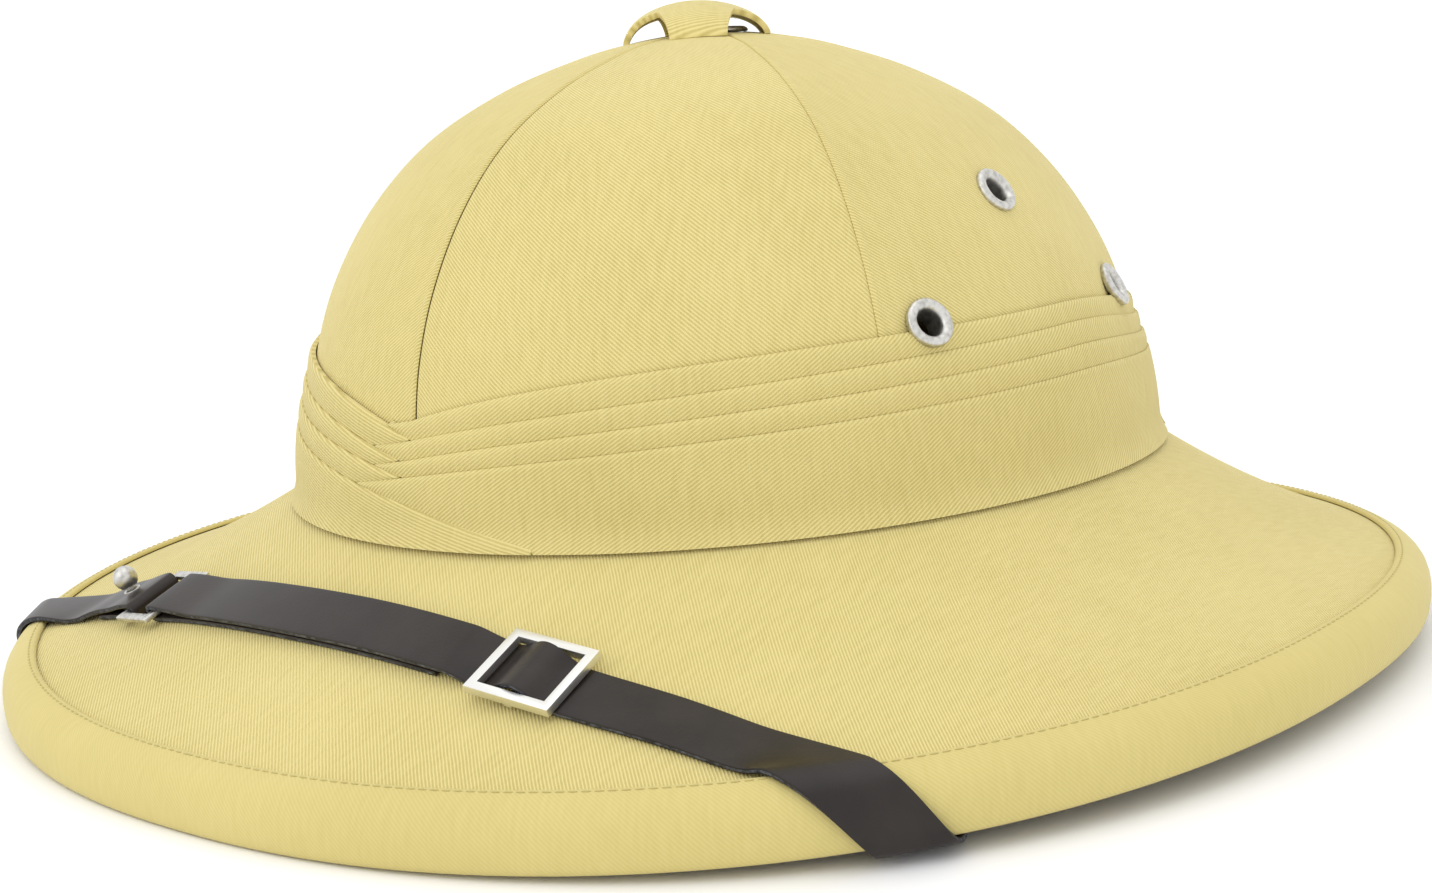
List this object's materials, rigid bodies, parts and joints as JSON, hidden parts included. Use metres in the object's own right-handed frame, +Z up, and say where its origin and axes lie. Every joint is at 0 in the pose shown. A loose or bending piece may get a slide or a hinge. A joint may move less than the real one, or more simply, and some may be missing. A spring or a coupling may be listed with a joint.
{
  "type": "pith helmet",
  "caption": "Pith helmet with a domed crown, a sloping bound brim, a pleated cloth band, vents and a leather chin strap stowed over the front of the brim.",
  "frame": {"origin": "centre of the rim's outline, on the floor that the rim rests on", "axes": "+Z up through the crown, -Y towards the front of the helmet, +X to the right as seen from the front"},
  "size_m": [0.321, 0.335, 0.1508],
  "materials": {
    "twill": "khaki cotton twill, matt",
    "board": "moulded cork board, matt",
    "leather": "black-brown, half gloss, raw edges",
    "nickel": "worn nickel plate",
    "bright_buckle": "bright plate"
  },
  "bodies": {
    "root": {"ball_stud": "nickel", "band_left_1": "twill", "band_left_2": "twill", "band_left_3": "twill", "band_left_4": "twill", "band_right_1": "twill", "band_right_2": "twill", "band_right_3": "twill", "band_right_4": "twill", "brim_binding": "twill", "brim_cover": "twill", "chin_strap_long": "leather", "chin_strap_short": "leather", "crown_gore_1": "twill", "crown_gore_2": "twill", "crown_gore_3": "twill", "crown_gore_4": "twill", "crown_gore_5": "twill", "crown_gore_6": "twill", "eyelet_left_1": "nickel", "eyelet_left_2": "nickel", "eyelet_left_3": "nickel", "eyelet_right_1": "nickel", "eyelet_right_2": "nickel", "eyelet_right_3": "nickel", "helmet_shell": "board", "slide_buckle": "bright_buckle", "strap_ring": "nickel", "top_vent": "nickel", "vent_cover": "twill"}
  },
  "joints": []
}
